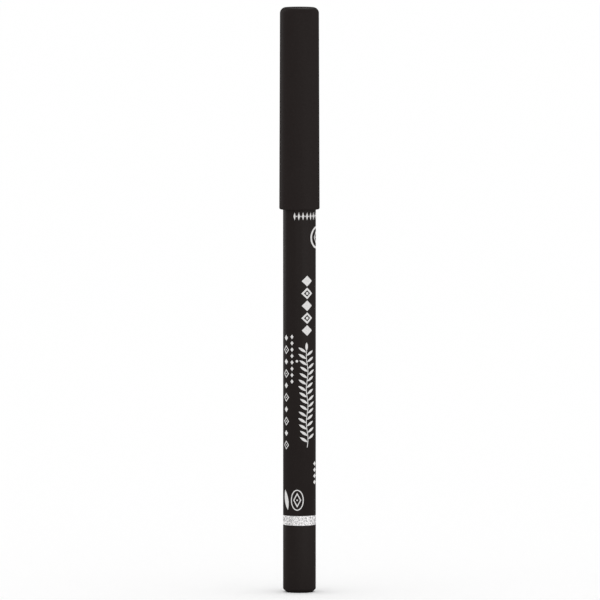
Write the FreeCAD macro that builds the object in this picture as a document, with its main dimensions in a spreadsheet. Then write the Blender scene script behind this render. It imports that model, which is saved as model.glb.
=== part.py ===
import FreeCAD, Part
import os
import Sketcher
from FreeCAD import Vector

# A wooden eyeliner pencil that stands on its dipped end, with its pull-off cap on.
# Millimetres. +Z runs along the pencil, from the dipped end to the cap's top, and the
# origin is the middle of the end face. The cap is seated by the cone of the sharpened
# point, so a longer pencil carries its cap further up.

# Driving dimensions: name, value and what it measures. Angles are in degrees.
DIMENSIONS = (
    ("barrel_diameter", 7.7, "barrel, over the lacquer"),
    ("pencil_length", 124.5, "end face to the blunt point"),
    ("coat_thickness", 0.18, "lacquer, band and dip, which lie flush"),
    ("core_diameter", 3.3, "kajal core"),
    ("sharpened_angle", 28, "full angle of the sharpened cone"),
    ("point_diameter", 0.9, "blunt end of the point, before its edge is rounded"),
    ("point_edge_radius", 0.35, "rounding of the point"),
    ("dip_height", 15.9, "end face to the dip's upper edge"),
    ("dip_floor", 0.5, "dip coat under the wood"),
    ("dip_slope_width", 0.78, "sloped edge of the standing end, across"),
    ("dip_slope_height", 0.74, "sloped edge of the standing end, upwards"),
    ("dip_foot_radius", 0.3, "rounding from the standing face to the slope"),
    ("dip_edge_radius", 0.45, "rounding from the slope to the side"),
    ("wood_chamfer", 0.4, "broken edge at the end of the wood"),
    ("band_height", 2.25, "glitter band"),
    ("cap_length", 47.4, "mouth to top"),
    ("cap_wall", 0.62, "cap's wall at the mouth"),
    ("cap_draft", 0.2, "outer draft, each side"),
    ("cap_top_thickness", 1.2, "wall across the cap's top"),
    ("cap_top_radius", 1.4, "rounding of the cap's top edge"),
    ("cap_rim_radius", 0.35, "rounding of the rim, outside"),
    ("cap_mouth_chamfer", 0.15, "broken edge of the mouth, inside"),
    ("bore_end_chamfer", 0.5, "bevel round the end of the bore"),
    ("bore_gap", 0.27, "barrel to the bore at the mouth, each side"),
    ("bore_draft", 0.25, "inner draft, each side"),
    ("grip_length", 20.8, "straight barrel inside the cap"),
    ("rib_count", 8, "grip ribs round the bore"),
    ("rib_width", 0.7, "one rib, across"),
    ("rib_setback", 4, "mouth to where the ribs start"),
    ("rib_lead_in", 1.5, "length of a rib's sloped start"),
    ("rib_clearance", 0.02, "barrel to a rib's crest, each side"),
    ("seat_clearance", 0.05, "cone to the ribs' sloped seats"),
    ("stop_opening", 5.9, "clear diameter between the ribs' seats"),
    ("stop_land", 0.8, "straight part above each seat"),
)

doc = FreeCAD.newDocument("EyelinerPencil")
sheet = doc.addObject("Spreadsheet::Sheet", "Sizes")
for row, (alias, value, meaning) in enumerate(DIMENSIONS, start=1):
    sheet.set(f"A{row}", meaning)
    sheet.set(f"B{row}", str(value))
    sheet.setAlias(f"B{row}", alias)
doc.recompute()

# Sizes that follow from the driving ones, as expressions on the sheet
BARREL_RADIUS = "(Sizes.barrel_diameter / 2)"
WOOD_RADIUS = f"({BARREL_RADIUS} - Sizes.coat_thickness)"
CORE_RADIUS = "(Sizes.core_diameter / 2)"
POINT_RADIUS = "(Sizes.point_diameter / 2)"
CONE_SLOPE = "tan(Sizes.sharpened_angle / 2)"
CONE_APEX = f"(Sizes.pencil_length + {POINT_RADIUS} / {CONE_SLOPE})"
BAND_TOP = "(Sizes.dip_height + Sizes.band_height)"
WOOD_END = "Sizes.dip_floor"
FOOT_RADIUS = f"({BARREL_RADIUS} - Sizes.dip_slope_width)"


def height_on_cone(radius):
    """The height at which the sharpened cone has this radius."""
    return f"({CONE_APEX} - {radius} / {CONE_SLOPE})"


SHOULDER = height_on_cone(BARREL_RADIUS)
CAP_MOUTH = f"({SHOULDER} - Sizes.grip_length)"
CAP_TOP = f"({CAP_MOUTH} + Sizes.cap_length)"
BORE_END = f"({CAP_TOP} - Sizes.cap_top_thickness)"
BORE_MOUTH_RADIUS = f"({BARREL_RADIUS} + Sizes.bore_gap)"
CAP_MOUTH_RADIUS = f"({BORE_MOUTH_RADIUS} + Sizes.cap_wall)"
CAP_TOP_RADIUS = f"({CAP_MOUTH_RADIUS} - Sizes.cap_length * tan(Sizes.cap_draft))"


def bore_radius(height):
    """The cap's bore narrows a little from its mouth to its end."""
    return f"({BORE_MOUTH_RADIUS} - ({height} - {CAP_MOUTH}) * tan(Sizes.bore_draft))"


def value_of(expression):
    return float(sheet.evalExpression(expression))


def sub_part(label):
    body = doc.addObject("PartDesign::Body", label)
    body.Label = label
    body.Placement = FreeCAD.Placement()
    return body


def origin_feature(body, role):
    return next(item for item in body.Origin.OriginFeatures if item.Role == role)


def outline(body, name, corners):
    """A closed outline on the body's XZ plane, with straight sides between corners.

    Each corner is (distance from the axis, height), both expressions on the sheet. A
    distance of None puts the corner on the axis.
    """
    sketch = body.newObject("Sketcher::SketchObject", name)
    sketch.AttachmentSupport = [(origin_feature(body, "XZ_Plane"), "")]
    sketch.MapMode = "FlatFace"
    points = [Vector(value_of(out) if out else 0, value_of(up), 0) for out, up in corners]
    for start, end in zip(points, points[1:] + points[:1]):
        sketch.addGeometry(Part.LineSegment(start, end), False)
    origin, axis, first_point, last_point = -1, -2, 1, 2
    for side, (out, up) in enumerate(corners):
        before = side - 1 if side else len(corners) - 1
        sketch.addConstraint(
            Sketcher.Constraint("Coincident", before, last_point, side, first_point)
        )
        if out:
            distance = Sketcher.Constraint(
                "DistanceX", origin, first_point, side, first_point, points[side].x
            )
            place = sketch.addConstraint(distance)
            sketch.setExpression(f"Constraints[{place}]", out)
        else:
            sketch.addConstraint(
                Sketcher.Constraint("PointOnObject", side, first_point, axis)
            )
        height = Sketcher.Constraint(
            "DistanceY", origin, first_point, side, first_point, points[side].y
        )
        place = sketch.addConstraint(height)
        sketch.setExpression(f"Constraints[{place}]", up)
    return sketch


def turned(body, sketch, angle=360, reverse=False):
    """The outline turned about the pencil's axis."""
    feature = body.newObject("PartDesign::Revolution", f"{body.Name}_turned")
    feature.Profile = sketch
    feature.ReferenceAxis = (sketch, ["V_Axis"])
    feature.Angle = angle
    feature.Reversed = reverse
    body.Tip = feature
    doc.recompute()
    return feature


def ring_edge(shape, out, up):
    """The name of the round edge at this distance from the axis and this height."""
    radius, height = value_of(out), value_of(up)

    def miss(edge):
        point = edge.valueAt(edge.FirstParameter)
        return abs(Vector(point.x, point.y, 0).Length - radius) + abs(point.z - height)

    rings = [
        (miss(edge), f"Edge{number}")
        for number, edge in enumerate(shape.Edges, start=1)
        if isinstance(edge.Curve, Part.Circle)
    ]
    return min(rings)[1]


def eased(body, base, kind, size, out, up):
    """One round edge of the last feature, rounded or broken by a size on the sheet."""
    feature = body.newObject(f"PartDesign::{kind}", f"{body.Name}_{kind}".lower())
    feature.Base = (base, [ring_edge(base.Shape, out, up)])
    feature.setExpression("Radius" if kind == "Fillet" else "Size", f"Sizes.{size}")
    body.Tip = feature
    doc.recompute()
    return feature


# End dip: the closed coat over the wood's end, on which the pencil stands
def end_dip():
    body = sub_part("end_dip")
    chamfer = "Sizes.wood_chamfer"
    sketch = outline(
        body,
        "dip_outline",
        [
            (None, "0"),
            (FOOT_RADIUS, "0"),
            (BARREL_RADIUS, "Sizes.dip_slope_height"),
            (BARREL_RADIUS, "Sizes.dip_height"),
            (WOOD_RADIUS, "Sizes.dip_height"),
            (WOOD_RADIUS, f"{WOOD_END} + {chamfer}"),
            (f"{WOOD_RADIUS} - {chamfer}", WOOD_END),
            (None, WOOD_END),
        ],
    )
    coat = turned(body, sketch)
    coat = eased(body, coat, "Fillet", "dip_foot_radius", FOOT_RADIUS, "0")
    eased(
        body, coat, "Fillet", "dip_edge_radius", BARREL_RADIUS, "Sizes.dip_slope_height"
    )
    return body


# Glitter band: a ring between the dip and the lacquer
def glitter_band():
    body = sub_part("glitter_band")
    sketch = outline(
        body,
        "band_outline",
        [
            (WOOD_RADIUS, "Sizes.dip_height"),
            (BARREL_RADIUS, "Sizes.dip_height"),
            (BARREL_RADIUS, BAND_TOP),
            (WOOD_RADIUS, BAND_TOP),
        ],
    )
    turned(body, sketch)
    return body


# Lacquer coat: a sleeve whose far edge is cut back by the sharpened cone
def lacquer_coat():
    body = sub_part("lacquer_coat")
    sketch = outline(
        body,
        "lacquer_outline",
        [
            (WOOD_RADIUS, BAND_TOP),
            (BARREL_RADIUS, BAND_TOP),
            (BARREL_RADIUS, SHOULDER),
            (WOOD_RADIUS, height_on_cone(WOOD_RADIUS)),
        ],
    )
    turned(body, sketch)
    return body


# Barrel halves: two grooved slats glued round the core, then turned and sharpened
def barrel_half(label, reverse):
    body = sub_part(label)
    chamfer = "Sizes.wood_chamfer"
    sketch = outline(
        body,
        f"{label}_outline",
        [
            (CORE_RADIUS, WOOD_END),
            (f"{WOOD_RADIUS} - {chamfer}", WOOD_END),
            (WOOD_RADIUS, f"{WOOD_END} + {chamfer}"),
            (WOOD_RADIUS, height_on_cone(WOOD_RADIUS)),
            (CORE_RADIUS, height_on_cone(CORE_RADIUS)),
        ],
    )
    turned(body, sketch, 180, reverse)
    return body


# Kajal core: full length of the wood, bare and blunt at the point
def kajal_core():
    body = sub_part("kajal_core")
    sketch = outline(
        body,
        "core_outline",
        [
            (None, WOOD_END),
            (CORE_RADIUS, WOOD_END),
            (CORE_RADIUS, height_on_cone(CORE_RADIUS)),
            (POINT_RADIUS, "Sizes.pencil_length"),
            (None, "Sizes.pencil_length"),
        ],
    )
    core = turned(body, sketch)
    eased(body, core, "Fillet", "point_edge_radius", POINT_RADIUS, "Sizes.pencil_length")
    return body


# Cap: a moulded shell with draft, and ribs that grip the barrel and stop on its cone
def cap():
    body = sub_part("cap")
    sketch = outline(
        body,
        "cap_outline",
        [
            (BORE_MOUTH_RADIUS, CAP_MOUTH),
            (CAP_MOUTH_RADIUS, CAP_MOUTH),
            (CAP_TOP_RADIUS, CAP_TOP),
            (None, CAP_TOP),
            (None, BORE_END),
            (bore_radius(BORE_END), BORE_END),
        ],
    )
    shell = turned(body, sketch)
    shell = eased(body, shell, "Fillet", "cap_top_radius", CAP_TOP_RADIUS, CAP_TOP)
    shell = eased(body, shell, "Fillet", "cap_rim_radius", CAP_MOUTH_RADIUS, CAP_MOUTH)
    shell = eased(
        body, shell, "Chamfer", "cap_mouth_chamfer", BORE_MOUTH_RADIUS, CAP_MOUTH
    )
    eased(
        body, shell, "Chamfer", "bore_end_chamfer", bore_radius(BORE_END), BORE_END
    )
    grip_ribs(body)
    return body


def grip_ribs(body):
    """One rib is drawn in section, given its width and repeated round the bore.

    From the mouth its crest slopes in to the barrel, runs along it, follows the cone to
    make a seat, and ends in a short land that slopes back to the wall.
    """
    into_wall = "Sizes.cap_wall / 2"
    crest = f"({BARREL_RADIUS} + Sizes.rib_clearance)"
    stop = "(Sizes.stop_opening / 2)"
    seat_offset = "Sizes.seat_clearance / cos(Sizes.sharpened_angle / 2)"
    start = f"({CAP_MOUTH} + Sizes.rib_setback)"
    crest_start = f"({start} + Sizes.rib_lead_in)"
    seat_start = height_on_cone(f"({crest} - {seat_offset})")
    seat_end = height_on_cone(f"({stop} - {seat_offset})")
    land_end = f"({seat_end} + Sizes.stop_land)"
    # the last slope runs at 45 degrees from the land to the wall
    end = f"({land_end} + {bore_radius(land_end)} - {stop})"
    sketch = outline(
        body,
        "rib_outline",
        [
            (f"{bore_radius(start)} + {into_wall}", start),
            (bore_radius(start), start),
            (crest, crest_start),
            (crest, seat_start),
            (stop, seat_end),
            (stop, land_end),
            (bore_radius(end), end),
            (f"{bore_radius(end)} + {into_wall}", end),
        ],
    )
    rib = body.newObject("PartDesign::Pad", "rib")
    rib.Profile = sketch
    rib.SideType = "Symmetric"
    rib.setExpression("Length", "Sizes.rib_width")
    body.Tip = rib
    doc.recompute()
    ribs = body.newObject("PartDesign::PolarPattern", "ribs")
    ribs.Originals = [rib]
    ribs.Axis = (origin_feature(body, "Z_Axis"), [""])
    ribs.Angle = 360
    ribs.setExpression("Occurrences", "Sizes.rib_count")
    body.Tip = ribs
    doc.recompute()


sub_parts = [
    end_dip(),
    glitter_band(),
    lacquer_coat(),
    barrel_half("barrel_half_front", True),
    barrel_half("barrel_half_back", False),
    kajal_core(),
    cap(),
]
doc.recompute()

# Nothing is written unless every feature and every sub-part is sound
for item in doc.Objects:
    if "Invalid" in item.State or "Error" in item.State:
        raise RuntimeError(f"{item.Label} failed: {item.State}")
for body in sub_parts:
    if body.Shape.isNull() or not body.Shape.isValid() or len(body.Shape.Solids) != 1:
        raise RuntimeError(f"{body.Label} isn't one valid solid")

os.makedirs("parts", exist_ok=True)
for body in sub_parts:
    body.Shape.exportStep(os.path.join("parts", f"{body.Label}.step"))
    box = body.Shape.BoundBox
    print(
        f"{body.Label}: {body.Shape.Volume:.1f} mm3,"
        f" x {box.XMin:.2f} to {box.XMax:.2f}, y {box.YMin:.2f} to {box.YMax:.2f},"
        f" z {box.ZMin:.2f} to {box.ZMax:.2f}"
    )
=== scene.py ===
import math
import random

import bmesh
import bpy
from mathutils import Matrix, Vector


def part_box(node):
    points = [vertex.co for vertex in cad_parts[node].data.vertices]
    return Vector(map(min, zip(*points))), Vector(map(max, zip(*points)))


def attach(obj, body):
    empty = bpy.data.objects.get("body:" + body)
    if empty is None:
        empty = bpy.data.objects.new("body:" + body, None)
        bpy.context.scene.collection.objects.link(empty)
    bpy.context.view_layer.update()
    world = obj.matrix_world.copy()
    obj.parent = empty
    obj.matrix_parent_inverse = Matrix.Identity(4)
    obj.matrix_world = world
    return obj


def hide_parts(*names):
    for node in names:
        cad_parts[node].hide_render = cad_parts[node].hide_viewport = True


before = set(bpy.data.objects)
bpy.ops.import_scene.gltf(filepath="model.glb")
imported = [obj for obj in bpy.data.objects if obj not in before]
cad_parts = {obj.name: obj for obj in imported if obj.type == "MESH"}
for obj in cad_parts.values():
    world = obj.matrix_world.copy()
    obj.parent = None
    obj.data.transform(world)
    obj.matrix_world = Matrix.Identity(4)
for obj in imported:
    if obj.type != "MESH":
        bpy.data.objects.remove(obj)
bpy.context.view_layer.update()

# Cedar slats: two halves of pale wood, each with half the core's groove, glued face to face,
# turned round and sharpened to a cone. Only the cone is bare, and it shows with the cap off.
MM = 0.001
TURN_STEPS = 192
SHARP_CORNER = math.radians(28)
SHARPENED_ANGLE = math.radians(28)
CONE_SLOPE = math.tan(SHARPENED_ANGLE / 2)
BROKEN_EDGE = 0.4 * MM
CEDAR_PALE = (0.60, 0.38, 0.215, 1)
CEDAR_LATE = (0.40, 0.205, 0.095, 1)
CEDAR_PORE = (0.235, 0.115, 0.055, 1)
GLUE_BROWN = (0.20, 0.095, 0.04, 1)
GLUE_WIDTH = 0.05 * MM
RING_PITCH_MM = 1.25
FRONT_HEART_MM = (21, -33)
BACK_HEART_MM = (-29, 24)
SMEAR_BLACK = (0.05, 0.036, 0.03, 1)
SMEAR_LENGTH = 2.2 * MM
wood_foot, wood_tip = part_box("barrel_half_back")[0].z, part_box("barrel_half_back")[1].z
wood_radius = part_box("barrel_half_back")[1].x
core_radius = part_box("kajal_core")[1].x
wood_shoulder = wood_tip - (wood_radius - core_radius) / CONE_SLOPE


def turned(name, outline, sweep=360, start=0):
    """A solid made by turning an outline of (distance from the axis, height) about the axis.

    The outline either starts and ends on the axis or is a closed loop beside it. Over part of
    a turn, the loop's two cut faces are closed.
    """
    whole = sweep == 360
    steps = round(TURN_STEPS * sweep / 360)
    solid = bmesh.new()
    poles = {up: solid.verts.new((0, 0, up)) for out, up in outline if out == 0}
    columns = []
    for step in range(steps if whole else steps + 1):
        angle = math.radians(start + sweep * step / steps)
        columns.append([
            poles[up] if out == 0 else solid.verts.new((out * math.cos(angle), out * math.sin(angle), up))
            for out, up in outline
        ])
    sides = list(zip(range(len(outline)), range(1, len(outline))))
    if not poles:
        sides.append((len(outline) - 1, 0))
    for column, following in zip(columns, columns[1:] + columns[:1] if whole else columns[1:]):
        for low, high in sides:
            corners = dict.fromkeys([column[low], following[low], following[high], column[high]])
            solid.faces.new(corners)
    if not whole:
        solid.faces.new(columns[0])
        solid.faces.new(columns[-1])
    return moulded(name, solid)


def moulded(name, solid):
    """The finished mesh as an object, smooth except across its sharp corners."""
    bmesh.ops.recalc_face_normals(solid, faces=solid.faces)
    mesh = bpy.data.meshes.new(name)
    solid.to_mesh(mesh)
    solid.free()
    mesh.shade_smooth()
    mesh.set_sharp_from_angle(angle=SHARP_CORNER)
    piece = bpy.data.objects.new(name, mesh)
    bpy.context.scene.collection.objects.link(piece)
    return piece


def fitted(piece, body, slot, finish, *nodes):
    """Gives a piece its finish and its place on the pencil or its cap."""
    piece.data.materials.append(finish)
    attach(piece, body)
    if nodes:
        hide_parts(*nodes)


def finish_of(name, **values):
    """A new material with these values on its principled shader."""
    finish = bpy.data.materials.new(name)
    finish.use_nodes = True
    for socket, value in values.items():
        finish.node_tree.nodes["Principled BSDF"].inputs[socket.replace("_", " ")].default_value = value
    return finish


def wired(finish, kind, inputs, **settings):
    """A shader node in a finish. Each input is a value or another node's output."""
    node = finish.node_tree.nodes.new(f"ShaderNode{kind}")
    for setting, value in settings.items():
        setattr(node, setting, value)
    for socket, value in inputs.items():
        if isinstance(value, bpy.types.NodeSocket):
            finish.node_tree.links.new(value, node.inputs[socket])
        else:
            node.inputs[socket].default_value = value
    return node


def shade(finish, socket, value):
    """Wires an output to the finish's own shader."""
    finish.node_tree.links.new(value, finish.node_tree.nodes["Principled BSDF"].inputs[socket])


def place(finish, per_mm, shift):
    """The piece's own coordinates in millimetres, each stretched by its own amount, then shifted."""
    own = wired(finish, "TexCoord", {}).outputs["Object"]
    in_mm = wired(finish, "VectorMath", {0: own, 1: [n / MM for n in per_mm]}, operation="MULTIPLY")
    return wired(finish, "VectorMath", {0: in_mm.outputs[0], 1: shift}, operation="ADD").outputs[0]


def grain(finish, per_mm, detail, shift=(0, 0, 0)):
    """Soft noise with this many grains to the millimetre along X, Y and Z."""
    where = place(finish, per_mm, shift)
    return wired(finish, "TexNoise", {"Vector": where, "Scale": 1.0, "Detail": detail}).outputs["Fac"]


def ranged(finish, value, low, high, new_low, new_high):
    """A value's range from low to high, spread or squeezed to a new one."""
    inputs = {"Value": value, "From Min": low, "From Max": high, "To Min": new_low, "To Max": new_high}
    return wired(finish, "MapRange", inputs).outputs[0]


def tinted(finish, share, first, second):
    """A colour between two others, each a value or an output."""
    mix = wired(finish, "Mix", {"Factor": share, "A": first, "B": second}, data_type="RGBA")
    return mix.outputs["Result"]


def relief(finish, height, depth, under=None):
    """A bump of this real depth, over another where one is given."""
    inputs = {"Height": height, "Distance": depth}
    if under:
        inputs["Normal"] = under
    return wired(finish, "Bump", inputs).outputs["Normal"]


def cedar(name, heart):
    """Cut cedar. Its growth rings lie round a heart beside the pencil, given in millimetres."""
    wood = finish_of(name, Specular_IOR_Level=0.25)
    along = place(wood, (1, 1, 0.03), (-heart[0], -heart[1], 0))
    # at a scale of 1, the wave's rings are pi / 10 apart
    ring_scale = math.pi / 10 / RING_PITCH_MM
    rings = wired(
        wood,
        "TexWave",
        {"Vector": along, "Scale": ring_scale, "Distortion": 1.1, "Detail": 2.0, "Detail Scale": 0.6},
        wave_type="RINGS",
        rings_direction="Z",
        wave_profile="SAW",
    ).outputs["Fac"]
    fibres = grain(wood, (7, 7, 0.3), 4.0)
    pores = grain(wood, (11, 11, 0.55), 1.0, heart + (3,))
    colour = tinted(wood, ranged(wood, rings, 0.35, 1.0, 0.0, 0.85), CEDAR_PALE, CEDAR_LATE)
    colour = tinted(wood, ranged(wood, fibres, 0.42, 0.68, 0.0, 0.5), colour, CEDAR_LATE)
    colour = tinted(wood, ranged(wood, pores, 0.64, 0.74, 0.0, 0.8), colour, CEDAR_PORE)
    # the glue line runs where the two slats meet
    own = wired(wood, "TexCoord", {}).outputs["Object"]
    across = wired(wood, "SeparateXYZ", {0: own})
    off_joint = wired(wood, "Math", {0: across.outputs["Y"]}, operation="ABSOLUTE").outputs[0]
    glue = ranged(wood, off_joint, GLUE_WIDTH / 2, GLUE_WIDTH, 0.8, 0.0)
    colour = tinted(wood, glue, colour, GLUE_BROWN)
    # the soft core leaves a smear of black on the wood beside it
    near_core = ranged(wood, across.outputs["Z"], wood_tip - SMEAR_LENGTH, wood_tip, 0.0, 0.75)
    streaks = ranged(wood, fibres, 0.35, 0.65, 0.15, 1.0)
    smear = wired(wood, "Math", {0: near_core, 1: streaks}, operation="MULTIPLY").outputs[0]
    colour = tinted(wood, smear, colour, SMEAR_BLACK)
    shade(wood, "Base Color", colour)
    shade(wood, "Roughness", ranged(wood, fibres, 0.3, 0.7, 0.5, 0.75))
    blade = grain(wood, (0.3, 0.3, 7), 2.0)
    shade(wood, "Normal", relief(wood, fibres, 0.02 * MM, relief(wood, blade, 0.012 * MM)))
    return wood


slat_outline = [
    (core_radius, wood_foot),
    (wood_radius - BROKEN_EDGE, wood_foot),
    (wood_radius, wood_foot + BROKEN_EDGE),
    (wood_radius, wood_shoulder),
    (core_radius, wood_tip),
]
front_slat = turned("cedar_slat_front", slat_outline, sweep=180, start=180)
fitted(front_slat, "pencil", "barrel_wood", cedar("cedar_front", FRONT_HEART_MM), "barrel_half_front")
back_slat = turned("cedar_slat_back", slat_outline, sweep=180, start=0)
fitted(back_slat, "pencil", "barrel_wood", cedar("cedar_back", BACK_HEART_MM), "barrel_half_back")

# Kajal core: a soft black stick of wax and pigment, extruded and laid in the slats' groove. The
# sharpener's blade leaves fine rings on its bare cone, and its blunt tip is a little rubbed.
TIP_RADIUS = 0.45 * MM
TIP_ROUND = 0.35 * MM
KAJAL_BLACK = (0.010, 0.009, 0.010, 1)
KAJAL_RUBBED = (0.020, 0.018, 0.018, 1)
core_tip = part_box("kajal_core")[1].z


def rounded(corner, before, after, radius, steps=6):
    """The arc that rounds one corner of an outline, as points from its start to its end."""
    corner = Vector(corner)
    back, ahead = (Vector(before) - corner).normalized(), (Vector(after) - corner).normalized()
    half = back.angle(ahead) / 2
    centre = corner + (back + ahead).normalized() * radius / math.sin(half)
    first = corner + back * radius / math.tan(half) - centre
    last = corner + ahead * radius / math.tan(half) - centre
    turn = first.angle_signed(last)
    return [tuple(centre + Matrix.Rotation(-turn * step / steps, 2) @ first) for step in range(steps + 1)]


def kajal():
    """Waxy black, smooth where it was cut and duller where it has been rubbed."""
    wax = finish_of("kajal_wax", Specular_IOR_Level=0.12, Coat_Weight=0.1, Coat_Roughness=0.3)
    rubbed = grain(wax, (2.2, 2.2, 2.2), 4.0)
    shade(wax, "Base Color", tinted(wax, rubbed, KAJAL_BLACK, KAJAL_RUBBED))
    shade(wax, "Roughness", ranged(wax, rubbed, 0.3, 0.7, 0.34, 0.55))
    blade = grain(wax, (0.4, 0.4, 9), 2.0)
    crumbs = grain(wax, (6, 6, 6), 3.0)
    shade(wax, "Normal", relief(wax, crumbs, 0.015 * MM, relief(wax, blade, 0.015 * MM)))
    return wax


tip_corner, tip_middle, core_edge = (TIP_RADIUS, core_tip), (0, core_tip), (core_radius, wood_tip)
core_outline = [(0, wood_foot), (core_radius, wood_foot), core_edge]
core_outline += rounded(tip_corner, core_edge, tip_middle, TIP_ROUND)
core_outline += [tip_middle]
fitted(turned("kajal_core_stick", core_outline), "pencil", "kajal", kajal(), "kajal_core")

# Lacquer: several thin coats of black, drawn along the turned wood through a soft ring, so it
# has faint lines along it. The sharpener cuts it off in a clean ring at the cone.
BLACK = (0.0136, 0.0103, 0.0096, 1)
BLACK_SOFT = (0.0176, 0.0137, 0.0127, 1)
NIB_GREY = (0.042, 0.036, 0.034, 1)
LACQUER_SHEEN = 0.08
PEEL_DEPTH = 0.006 * MM
NIB_DEPTH = 0.004 * MM
EDGE_ROUND = 0.035 * MM
band_low, band_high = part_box("glitter_band")[0].z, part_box("glitter_band")[1].z
barrel_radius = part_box("lacquer_coat")[1].x
coat_shoulder = wood_shoulder - (barrel_radius - wood_radius) / CONE_SLOPE


def lacquer(name, gloss, dull, drawn):
    """Black lacquer. Its roughness goes from gloss to dull, and drawn is the depth of its lines."""
    coat = finish_of(name, Specular_IOR_Level=0.0, Coat_Weight=LACQUER_SHEEN, Coat_Roughness=gloss)
    cloud = grain(coat, (0.35, 0.35, 0.12), 3.0)
    lines = grain(coat, (5, 5, 0.05), 2.0)
    peel = grain(coat, (1.1, 1.1, 0.8), 1.5)
    # fine nibs of dust dried in with the coats
    nibs = ranged(coat, grain(coat, (10, 10, 10), 1.0, (2, 7, 1)), 0.62, 0.84, 0.0, 1.0)
    shade(coat, "Base Color", tinted(coat, nibs, tinted(coat, cloud, BLACK, BLACK_SOFT), NIB_GREY))
    shade(coat, "Roughness", ranged(coat, cloud, 0.3, 0.7, gloss, dull))
    surface = relief(coat, lines, drawn, relief(coat, peel, PEEL_DEPTH, relief(coat, nibs, NIB_DEPTH)))
    shade(coat, "Normal", surface)
    shade(coat, "Coat Normal", surface)
    return coat


coat_inside, coat_edge = (wood_radius, band_high), (barrel_radius, band_high)
coat_top = (barrel_radius, coat_shoulder)
coat_outline = [coat_inside] + rounded(coat_edge, coat_inside, coat_top, EDGE_ROUND, steps=3)
coat_outline += [coat_top, (wood_radius, wood_shoulder)]
barrel_black = lacquer("barrel_lacquer", gloss=0.30, dull=0.40, drawn=0.002 * MM)
fitted(turned("barrel_lacquer_coat", coat_outline), "pencil", "black_lacquer", barrel_black, "lacquer_coat")

# Print: white ink laid on the lacquer by screen, a thin film with soft edges. It is a plain
# ornament of leaves, lozenges, ovals and beads. Its sizes are millimetres round the barrel and up.
INK_FILM = 0.02 * MM
INK_EDGE_SHARE = 0.6
INK_ROOT = 0.012 * MM
INK_ACROSS = 8
INK_THIN = (0.66, 0.65, 0.64, 1)
INK_FULL = (0.84, 0.83, 0.82, 1)
PINHOLE_DARK = (0.10, 0.095, 0.09, 1)
FINEST_HALF_WIDTH = 0.012
SHAPE_STEPS = 16
OVAL_STEPS = 60
LOZENGE_SIDE_STEPS = 8
BEAD_TO_LINE = 1.6
LEAF_FULLNESS = 0.8
STEM_WIDTH = 0.18
STEM_SWAY = 0.22
STEM_SWAY_RATE = 0.8
STEM_STEPS = 80
BRANCH_LOW, BRANCH_HIGH = 34.3, 57.0
BRANCH_LEAVES = 29
BRANCH_LEAN = 58
FIRST_LEAF_ABOVE = 1.2
LAST_LEAF_BELOW = 0.4
LEAF_REACH = 1.0
LEAF_RISE = 0.62
MAIN_COLUMN = 28
LOZENGE_COLUMNS = (
    # degrees from the front, lowest middle, pitch and number, then the sizes of the first lozenge
    # and of the second, which take turns: height, width and line. One with no line is full.
    (MAIN_COLUMN, 61.8, 2.9, 5, (2.5, 2.7), (2.7, 2.9, 0.42)),
    (-53, 34.8, 2.8, 10, (2.1, 1.8, 0.21), (1.4, 1.2)),
    (-27, 49.8, 1.5, 8, (1.05, 0.8), (1.05, 0.8)),
    (68, 26.0, 1.45, 4, (1.1, 1.5), (1.1, 1.5)),
)
EDGING_START = -17
EDGING_HEIGHT = 88.6
EDGING_PITCH = 0.5
EDGING_MARKS = 17


def on_barrel(round_it, up, lift):
    """A place on the barrel, lifted off the lacquer. The printed front faces -Y."""
    angle = round_it * MM / barrel_radius
    out = barrel_radius + lift
    return out * math.sin(angle), -out * math.cos(angle), up * MM


def lay_ink(ink, left, right, closed=False):
    """A closed film of ink between two edges, each a list of places on the barrel."""
    rows = []
    for one, other in zip(left, right):
        row = []
        for step in range(INK_ACROSS + 1):
            share = step / INK_ACROSS
            spot = [a + (b - a) * share for a, b in zip(one, other)]
            fullness = INK_EDGE_SHARE if step in (0, INK_ACROSS) else 1
            row.append(ink.verts.new(on_barrel(*spot, INK_FILM * fullness)))
        row.append(ink.verts.new(on_barrel(*other, -INK_ROOT)))
        row.append(ink.verts.new(on_barrel(*one, -INK_ROOT)))
        rows.append(row)
    for row, following in zip(rows, rows[1:] + rows[:1] if closed else rows[1:]):
        for step in range(len(row)):
            ahead = (step + 1) % len(row)
            ink.faces.new([row[step], following[step], following[ahead], row[ahead]])
    if not closed:
        # each end is a fan from one of its root corners, so that it holds no slivers
        for end in (rows[0], rows[-1]):
            for step in range(len(end) - 2):
                ink.faces.new([end[-1], end[step], end[step + 1]])


def blade_shape(middle, length, half_width, lean=0.0):
    """The two edges of a shape with this half width along its length, leaning from upright."""
    along = Vector((math.sin(math.radians(lean)), math.cos(math.radians(lean))))
    aside = Vector((-along.y, along.x))
    left, right = [], []
    for step in range(SHAPE_STEPS + 1):
        share = (1 - math.cos(math.pi * step / SHAPE_STEPS)) / 2
        spot = Vector(middle) + along * length * (share - 0.5)
        half = max(half_width(share), FINEST_HALF_WIDTH)
        left.append(tuple(spot + aside * half))
        right.append(tuple(spot - aside * half))
    return left, right


def leaf(ink, middle, length, width, lean):
    """A leaf, widest halfway along it and pointed at both ends."""
    def half_width(share):
        return width / 2 * math.sin(math.pi * share) ** LEAF_FULLNESS

    lay_ink(ink, *blade_shape(middle, length, half_width, lean))


def bead(ink, middle, size):
    """A round dot."""
    def half_width(share):
        return size * math.sqrt(max(share - share * share, 0))

    lay_ink(ink, *blade_shape(middle, size, half_width))


def lozenge(ink, middle, height, width):
    """A full lozenge."""
    def half_width(share):
        return width / 2 * (1 - abs(2 * share - 1))

    lay_ink(ink, *blade_shape(middle, height, half_width))


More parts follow.
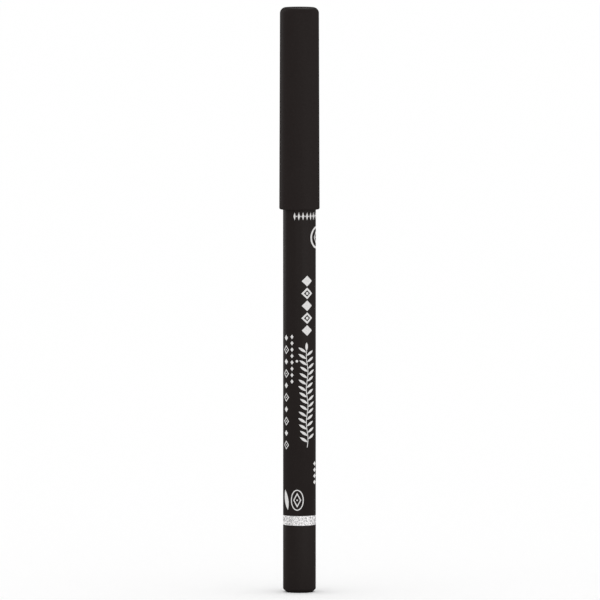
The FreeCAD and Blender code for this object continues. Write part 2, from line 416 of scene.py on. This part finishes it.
def open_lozenge(ink, middle, height, width, line):
    """The outline of a lozenge, with a bead inside."""
    corners = [(0, 0.5), (0.5, 0), (0, -0.5), (-0.5, 0)]
    outer, inner = [], []
    inset = 1 - 2 * line * math.hypot(width, height) / (width * height)
    for (across, up), (next_across, next_up) in zip(corners, corners[1:] + corners[:1]):
        for step in range(LOZENGE_SIDE_STEPS):
            share = step / LOZENGE_SIDE_STEPS
            aside = (across + (next_across - across) * share) * width
            above = (up + (next_up - up) * share) * height
            outer.append((middle[0] + aside, middle[1] + above))
            inner.append((middle[0] + aside * inset, middle[1] + above * inset))
    lay_ink(ink, outer, inner, closed=True)
    bead(ink, middle, line * BEAD_TO_LINE)


def open_oval(ink, middle, height, width, line):
    """The outline of an oval."""
    outer, inner = [], []
    for step in range(OVAL_STEPS):
        angle = math.tau * step / OVAL_STEPS
        across, up = math.sin(angle), math.cos(angle)
        outer.append((middle[0] + across * width / 2, middle[1] + up * height / 2))
        inner.append((middle[0] + across * (width / 2 - line), middle[1] + up * (height / 2 - line)))
    lay_ink(ink, outer, inner, closed=True)


def leaf_branch(ink, across, low, high):
    """A slim stem that sways a little, with leaves to either side in turn."""
    def sway(up):
        return across + STEM_SWAY * math.sin((up - low) * STEM_SWAY_RATE)

    heights = [low + (high - low) * step / STEM_STEPS for step in range(STEM_STEPS + 1)]
    left = [(sway(up) - STEM_WIDTH / 2, up) for up in heights]
    right = [(sway(up) + STEM_WIDTH / 2, up) for up in heights]
    lay_ink(ink, left, right)
    first, last = low + FIRST_LEAF_ABOVE, high - LAST_LEAF_BELOW
    for number in range(BRANCH_LEAVES):
        side = 1 if number % 2 else -1
        up = first + (last - first) * number / (BRANCH_LEAVES - 1)
        middle = (sway(up) + side * LEAF_REACH, up + LEAF_RISE)
        leaf(ink, middle, length=2.2, width=0.6, lean=side * BRANCH_LEAN)
    leaf(ink, (sway(high), high + 1.0), length=2.0, width=0.66, lean=0)


def printing_white():
    """Matt white ink, thinner in spots, with pinholes where the screen missed."""
    white = finish_of("screen_white", Specular_IOR_Level=0.3)
    thin = grain(white, (4, 4, 4), 4.0)
    pinhole = grain(white, (9, 9, 9), 0.0, (5, 0, 2))
    colour = tinted(white, ranged(white, thin, 0.3, 0.7, 0.0, 1.0), INK_THIN, INK_FULL)
    colour = tinted(white, ranged(white, pinhole, 0.70, 0.78, 0.0, 0.7), colour, PINHOLE_DARK)
    shade(white, "Base Color", colour)
    shade(white, "Roughness", ranged(white, thin, 0.3, 0.7, 0.42, 0.6))
    shade(white, "Normal", relief(white, thin, 0.004 * MM))
    return white


def around(degrees):
    """Millimetres round the barrel to this angle from the front."""
    return math.radians(degrees) * barrel_radius / MM


white_ink = printing_white()

branch = bmesh.new()
leaf_branch(branch, around(MAIN_COLUMN), BRANCH_LOW, BRANCH_HIGH)
fitted(moulded("print_leaf_branch", branch), "pencil", "print_ink", white_ink)

lozenges = bmesh.new()
for degrees, lowest, pitch, count, first, second in LOZENGE_COLUMNS:
    for number in range(count):
        size = second if number % 2 else first
        shape = open_lozenge if len(size) == 3 else lozenge
        shape(lozenges, (around(degrees), lowest + pitch * number), *size)
fitted(moulded("print_lozenges", lozenges), "pencil", "print_ink", white_ink)

edging = bmesh.new()
for number in range(EDGING_MARKS):
    spot = (around(EDGING_START) + EDGING_PITCH * number, EDGING_HEIGHT)
    if number % 2:
        bead(edging, spot, size=0.26)
    else:
        lozenge(edging, spot, height=1.9, width=0.56)
fitted(moulded("print_edging", edging), "pencil", "print_ink", white_ink)

ovals = bmesh.new()
upper_oval, lower_oval, lower_leaf = (around(80), 83.5), (around(-8), 21.9), (around(-52), 21.9)
open_oval(ovals, upper_oval, height=5.2, width=5.1, line=0.5)
open_lozenge(ovals, upper_oval, height=3.0, width=2.5, line=0.3)
open_oval(ovals, lower_oval, height=4.9, width=3.1, line=0.23)
open_lozenge(ovals, lower_oval, height=3.5, width=1.9, line=0.24)
leaf(ovals, lower_leaf, length=4.8, width=1.3, lean=-12)
bead(ovals, (around(-9), 54.6), size=0.6)
fitted(moulded("print_ovals", ovals), "pencil", "print_ink", white_ink)

# Glitter band: silver flakes in clear lacquer over a silver ground, laid as a ring where the
# black lacquer ends. Each flake is a tiny six-sided piece of foil that lies at its own tilt.
GROUND_DEPTH = 0.022 * MM
FLAKE_PITCH = 0.185 * MM
FLAKE_LAYERS = 2
FLAKE_THICK = 0.008 * MM
FLAKE_SIZES_MM = (0.15, 0.30)
FLAKE_DEPTHS = (0.2, 0.75)
FLAKE_TILT = math.radians(13)
MOST_TILT = 0.42
GROUND_GREY = (0.34, 0.34, 0.345, 1)
GROUND_SILVER = (0.58, 0.58, 0.585, 1)
FOIL_SILVER = (0.66, 0.65, 0.65, 1)
FOIL_BRIGHT = (0.98, 0.96, 0.96, 1)
FOIL_DULL = (0.08, 0.08, 0.085, 1)
flake_draw = random.Random(11)


def foil_flake(flakes, angle, up, size):
    """One six-sided flake, turned and tilted at random, flat on the band."""
    out = Vector((math.sin(angle), -math.cos(angle), 0))
    upright = Vector((0, 0, 1))
    tilt_axis = Matrix.Rotation(flake_draw.uniform(0, math.tau), 3, out) @ upright
    tilt = flake_draw.gauss(0, FLAKE_TILT)
    lie = Matrix.Rotation(max(min(tilt, MOST_TILT), -MOST_TILT), 3, tilt_axis)
    first = lie @ Matrix.Rotation(flake_draw.uniform(0, math.tau), 3, out) @ upright
    facing = lie @ out
    middle = out * (barrel_radius - GROUND_DEPTH * flake_draw.uniform(*FLAKE_DEPTHS)) + upright * up
    faces = []
    for lift in (-FLAKE_THICK / 2, FLAKE_THICK / 2):
        corners = [Matrix.Rotation(math.tau * side / 6, 3, facing) @ first for side in range(6)]
        faces.append([flakes.verts.new(middle + corner * size / 2 + facing * lift) for corner in corners])
    flakes.faces.new(faces[0])
    flakes.faces.new(faces[1])
    for side in range(6):
        ahead = (side + 1) % 6
        flakes.faces.new([faces[0][side], faces[0][ahead], faces[1][ahead], faces[1][side]])


def silver_ground():
    """Silver paint under the flakes."""
    ground = finish_of("silver_ground", Metallic=0.4, Roughness=0.45)
    mottle = grain(ground, (6, 6, 6), 3.0)
    shade(ground, "Base Color", tinted(ground, mottle, GROUND_GREY, GROUND_SILVER))
    shade(ground, "Normal", relief(ground, mottle, 0.02 * MM))
    return ground


def silver_foil():
    """Bright foil. Each flake is a little brighter or rougher than the next, and a few are dull."""
    foil = finish_of("silver_foil", Metallic=0.3, Specular_IOR_Level=0.15)
    each = wired(foil, "NewGeometry", {}).outputs["Random Per Island"]
    bright = tinted(foil, each, FOIL_SILVER, FOIL_BRIGHT)
    dull = ranged(foil, each, 0.08, 0.34, 1.0, 0.0)
    shade(foil, "Base Color", tinted(foil, dull, bright, FOIL_DULL))
    shade(foil, "Roughness", ranged(foil, each, 0.0, 1.0, 0.5, 0.28))
    return foil


ground_out = barrel_radius - GROUND_DEPTH
ground_outline = [
    (wood_radius, band_low),
    (ground_out, band_low),
    (ground_out, band_high),
    (wood_radius, band_high),
]
fitted(turned("glitter_ground", ground_outline), "pencil", "silver_glitter", silver_ground(), "glitter_band")
flakes = bmesh.new()
flake_rows = round((band_high - band_low) / FLAKE_PITCH)
flake_columns = round(math.tau * barrel_radius / FLAKE_PITCH)
for layer in range(FLAKE_LAYERS):
    for row in range(flake_rows):
        for column in range(flake_columns):
            size = flake_draw.uniform(*FLAKE_SIZES_MM) * MM
            angle = math.tau * (column + flake_draw.uniform(-0.5, 0.5)) / flake_columns
            up = band_low + (row + 0.5 + flake_draw.uniform(-0.5, 0.5)) * (band_high - band_low) / flake_rows
            up = max(min(up, band_high - size / 2), band_low + size / 2)
            foil_flake(flakes, angle, up, size)
fitted(moulded("glitter_flakes", flakes), "pencil", "silver_glitter", silver_foil())

# End dip: the finished pencil's end is dipped in thick black lacquer, which closes the wood. It
# is smoother than the drawn lacquer. It runs down the end's sloped edge to the flat it stands on.
DIP_SLOPE_WIDTH = 0.78 * MM
DIP_SLOPE_HEIGHT = 0.74 * MM
DIP_FOOT_ROUND = 0.3 * MM
DIP_EDGE_ROUND = 0.45 * MM
dip_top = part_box("end_dip")[1].z
foot_corner, side_corner = (barrel_radius - DIP_SLOPE_WIDTH, 0), (barrel_radius, DIP_SLOPE_HEIGHT)
dip_corner = (barrel_radius, dip_top)
dip_outline = [(0, 0)]
dip_outline += rounded(foot_corner, (0, 0), side_corner, DIP_FOOT_ROUND)
dip_outline += rounded(side_corner, foot_corner, dip_corner, DIP_EDGE_ROUND)
dip_outline += rounded(dip_corner, side_corner, (wood_radius, dip_top), EDGE_ROUND, steps=3)
dip_outline += [
    (wood_radius, dip_top),
    (wood_radius, wood_foot + BROKEN_EDGE),
    (wood_radius - BROKEN_EDGE, wood_foot),
    (0, wood_foot),
]
dip_black = lacquer("dip_lacquer", gloss=0.36, dull=0.42, drawn=0.0005 * MM)
fitted(turned("dipped_end", dip_outline), "pencil", "black_lacquer", dip_black, "end_dip")

# Cap: one shell of black plastic, moulded in one pull, so it has a draft and no side seam. Eight
# ribs inside grip the barrel and stop on its cone, and the gate left a small mark on the top.
CAP_DRAFT = math.radians(0.2)
CAP_TOP_ROUND = 1.4 * MM
CAP_RIM_ROUND = 0.35 * MM
CAP_MOUTH_BEVEL = 0.15 * MM
CAP_TOP_WALL = 1.2 * MM
BORE_GAP = 0.27 * MM
BORE_DRAFT = math.radians(0.25)
BORE_END_BEVEL = 0.5 * MM
GATE_RADIUS = 0.55 * MM
GATE_FLOOR_RADIUS = 0.44 * MM
GATE_DEPTH = 0.06 * MM
RIBS = 8
RIB_WIDTH = 0.7 * MM
RIB_SETBACK = 4 * MM
RIB_LEAD_IN = 1.5 * MM
RIB_CLEARANCE = 0.02 * MM
SEAT_CLEARANCE = 0.05 * MM
STOP_RADIUS = 2.95 * MM
STOP_LAND = 0.8 * MM
GAP_STEPS = 20
CAP_BLACK = (0.0140, 0.0105, 0.0099, 1)
CAP_BLACK_SOFT = (0.0180, 0.0142, 0.0133, 1)
# painted sheen: the lighter colour of the specks where the mould texture would catch the light
CAP_PAINTED_SHEEN = (0.026, 0.021, 0.020, 1)
cap_low, cap_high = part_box("cap")
cap_mouth, cap_top = cap_low.z, cap_high.z
cap_radius = min(cap_high.x, cap_high.y, -cap_low.x, -cap_low.y)
cap_top_radius = cap_radius - (cap_top - cap_mouth) * math.tan(CAP_DRAFT)
bore_end = cap_top - CAP_TOP_WALL
cone_apex = wood_tip + core_radius / CONE_SLOPE


def bore_at(up):
    """The bore's radius at a height."""
    return barrel_radius + BORE_GAP - (up - cap_mouth) * math.tan(BORE_DRAFT)


def cap_ring(shell, up, out, crest=None):
    """One ring of the shell. Where a crest is given, the ribs stand in to that distance."""
    ring = []
    half = min(RIB_WIDTH / 2, out * math.sin(math.pi / RIBS) / 2)
    for rib in range(RIBS):
        to_rib = Matrix.Rotation(math.tau * rib / RIBS, 3, "Z")
        foot = math.sqrt(out * out - half * half)
        inner = foot if crest is None else crest
        middle = out if crest is None else crest
        for depth, aside in ((foot, -half), (inner, -half), (middle, 0), (inner, half), (foot, half)):
            ring.append(shell.verts.new(to_rib @ Vector((depth, aside, up))))
        edge = math.asin(half / out)
        for step in range(1, GAP_STEPS):
            angle = edge + (math.tau / RIBS - 2 * edge) * step / GAP_STEPS
            ring.append(shell.verts.new(to_rib @ Vector((out * math.cos(angle), out * math.sin(angle), up))))
    return ring


def cap_shell():
    """The outside from the gate mark down to the rim, then the bore up to its end."""
    shell = bmesh.new()
    rim, shoulder = (cap_radius, cap_mouth), (cap_top_radius, cap_top)
    outside = [(GATE_FLOOR_RADIUS, cap_top - GATE_DEPTH), (GATE_RADIUS, cap_top)]
    outside += rounded(shoulder, (0, cap_top), rim, CAP_TOP_ROUND, steps=8)
    outside += rounded(rim, shoulder, (0, cap_mouth), CAP_RIM_ROUND, steps=5)
    outside += [(bore_at(cap_mouth) + CAP_MOUTH_BEVEL, cap_mouth)]
    rings = [cap_ring(shell, up, out) for out, up in outside]
    start = cap_mouth + RIB_SETBACK
    crest = barrel_radius + RIB_CLEARANCE
    seat_offset = SEAT_CLEARANCE / math.cos(math.atan(CONE_SLOPE))
    seat_start = cone_apex - (crest - seat_offset) / CONE_SLOPE
    seat_end = cone_apex - (STOP_RADIUS - seat_offset) / CONE_SLOPE
    land_end = seat_end + STOP_LAND
    end = land_end + bore_at(land_end) - STOP_RADIUS
    mouth_edge = cap_mouth + CAP_MOUTH_BEVEL
    inside = [
        (mouth_edge, None),
        (start, None),
        (start + RIB_LEAD_IN, crest),
        (seat_start, crest),
        (seat_end, STOP_RADIUS),
        (land_end, STOP_RADIUS),
        (end, None),
        (bore_end - BORE_END_BEVEL, None),
    ]
    rings += [cap_ring(shell, up, bore_at(up), crest) for up, crest in inside]
    rings += [cap_ring(shell, bore_end, bore_at(bore_end) - BORE_END_BEVEL)]
    for ring, following in zip(rings, rings[1:]):
        for step in range(len(ring)):
            ahead = (step + 1) % len(ring)
            shell.faces.new([ring[step], ring[ahead], following[ahead], following[step]])
    shell.faces.new(rings[0])
    shell.faces.new(rings[-1])
    bmesh.ops.remove_doubles(shell, verts=shell.verts, dist=0.0005 * MM)
    return moulded("pull_off_cap", shell)


def cap_plastic():
    """Satin black plastic. The fine texture of its mould is a bump, and the sheen on that texture is painted
    into its colour as lighter specks.
    """
    plastic = finish_of("cap_plastic_black", Specular_IOR_Level=0.0, Coat_Weight=0.055, Coat_Roughness=0.42)
    cloud = grain(plastic, (0.25, 0.25, 0.08), 3.0)
    spark = grain(plastic, (8, 8, 8), 2.0)
    pulled = grain(plastic, (4, 4, 0.06), 2.0)
    colour = tinted(plastic, cloud, CAP_BLACK, CAP_BLACK_SOFT)
    # painted sheen: the light that the mould texture would catch is painted into the colour as lighter
    # specks
    painted_sheen_specks = ranged(plastic, spark, 0.42, 0.72, 0.0, 0.8)
    shade(plastic, "Base Color", tinted(plastic, painted_sheen_specks, colour, CAP_PAINTED_SHEEN))
    shade(plastic, "Roughness", ranged(plastic, cloud, 0.3, 0.7, 0.42, 0.52))
    surface = relief(plastic, spark, 0.005 * MM, relief(plastic, pulled, 0.003 * MM))
    shade(plastic, "Normal", surface)
    shade(plastic, "Coat Normal", surface)
    return plastic


fitted(cap_shell(), "cap", "cap_plastic", cap_plastic(), "cap")

# Studio: a wide white floor, an even white surround and five soft lamps: behind on the left, on
# the right, at the front right, in front and high behind. They give the black its faint lights.
FLOOR_RADIUS = 9.0
FLOOR_WHITE = (0.86, 0.86, 0.86, 1)
FLOOR_SEEN = (1.0, 1.0, 1.0, 1)
FLOOR_CLOUD = (0.8, 0.8, 0.8, 1)
SURROUND_WHITE = (1, 1, 1, 1)
SURROUND_LIGHT = 1.0
LAMPS = (
    # direction from the front and rise in degrees, watts, distance, width and height in metres
    (-128, 0, 2.6, 0.6, 0.3, 0.7),
    (92, 0, 1.2, 0.6, 0.4, 0.7),
    (46, 0, 0.26, 0.25, 0.25, 0.16),
    (-4, 0, 0.6, 0.6, 0.5, 0.4),
    (170, 52, 3.5, 0.5, 0.3, 0.3),
)

floor_mesh = bmesh.new()
bmesh.ops.create_circle(floor_mesh, cap_ends=True, segments=96, radius=FLOOR_RADIUS)
floor = moulded("studio_floor", floor_mesh)
floor_paint = finish_of("floor_paint", Roughness=0.9, Specular_IOR_Level=0.0)
# the camera, gloss and glass see the floor as pure white
ray = wired(floor_paint, "LightPath", {})
seen = ray.outputs["Is Camera Ray"]
for kind in ("Is Glossy Ray", "Is Transmission Ray"):
    seen = wired(floor_paint, "Math", {0: seen, 1: ray.outputs[kind]}, operation="MAXIMUM").outputs[0]
paper = ranged(floor_paint, grain(floor_paint, (0.5, 0.5, 0.5), 2.0), 0.3, 0.7, 0.0, 0.02)
floor_colour = tinted(floor_paint, seen, FLOOR_WHITE, FLOOR_SEEN)
shade(floor_paint, "Base Color", tinted(floor_paint, paper, floor_colour, FLOOR_CLOUD))
floor.data.materials.append(floor_paint)

world = bpy.data.worlds.new("studio_surround")
world.use_nodes = True
bpy.context.scene.world = world
surround = world.node_tree.nodes["Background"]
surround.inputs["Color"].default_value = SURROUND_WHITE
surround.inputs["Strength"].default_value = SURROUND_LIGHT

for number, (direction, rise, watts, distance, width, height) in enumerate(LAMPS):
    lamp = bpy.data.lights.new(f"soft_lamp_{number}", "AREA")
    lamp.shape = "RECTANGLE"
    lamp.size, lamp.size_y = width, height
    lamp.energy = watts
    stand = bpy.data.objects.new(lamp.name, lamp)
    turn = Matrix.Rotation(math.radians(direction), 3, "Z") @ Matrix.Rotation(-math.radians(rise), 3, "X")
    away = turn @ Vector((0, -distance, 0))
    stand.location = Vector((0, 0, height / 2)) + away
    stand.rotation_euler = (-away).to_track_quat("-Z", "Y").to_euler()
    stand.visible_camera = False
    stand.visible_diffuse = False
    bpy.context.scene.collection.objects.link(stand)

# Camera: a long lens a little above the pencil's middle, so that its sides stay upright, and
# close enough for the pencil to fill the picture from foot to cap.
LENS = 613
CAMERA_DISTANCE = 2.397
CAMERA_RISE = math.radians(4)
AIM = Vector((0.13 * MM, 0, 68.72 * MM))
camera = bpy.data.objects.new("camera", bpy.data.cameras.new("camera"))
camera.data.lens = LENS
camera.data.clip_start, camera.data.clip_end = 0.1, 30
back = Vector((0, -math.cos(CAMERA_RISE), math.sin(CAMERA_RISE)))
camera.location = AIM + back * CAMERA_DISTANCE
camera.rotation_euler = (-back).to_track_quat("-Z", "Y").to_euler()
bpy.context.scene.collection.objects.link(camera)
bpy.context.scene.camera = camera
bpy.context.scene.view_settings.view_transform = "Standard"
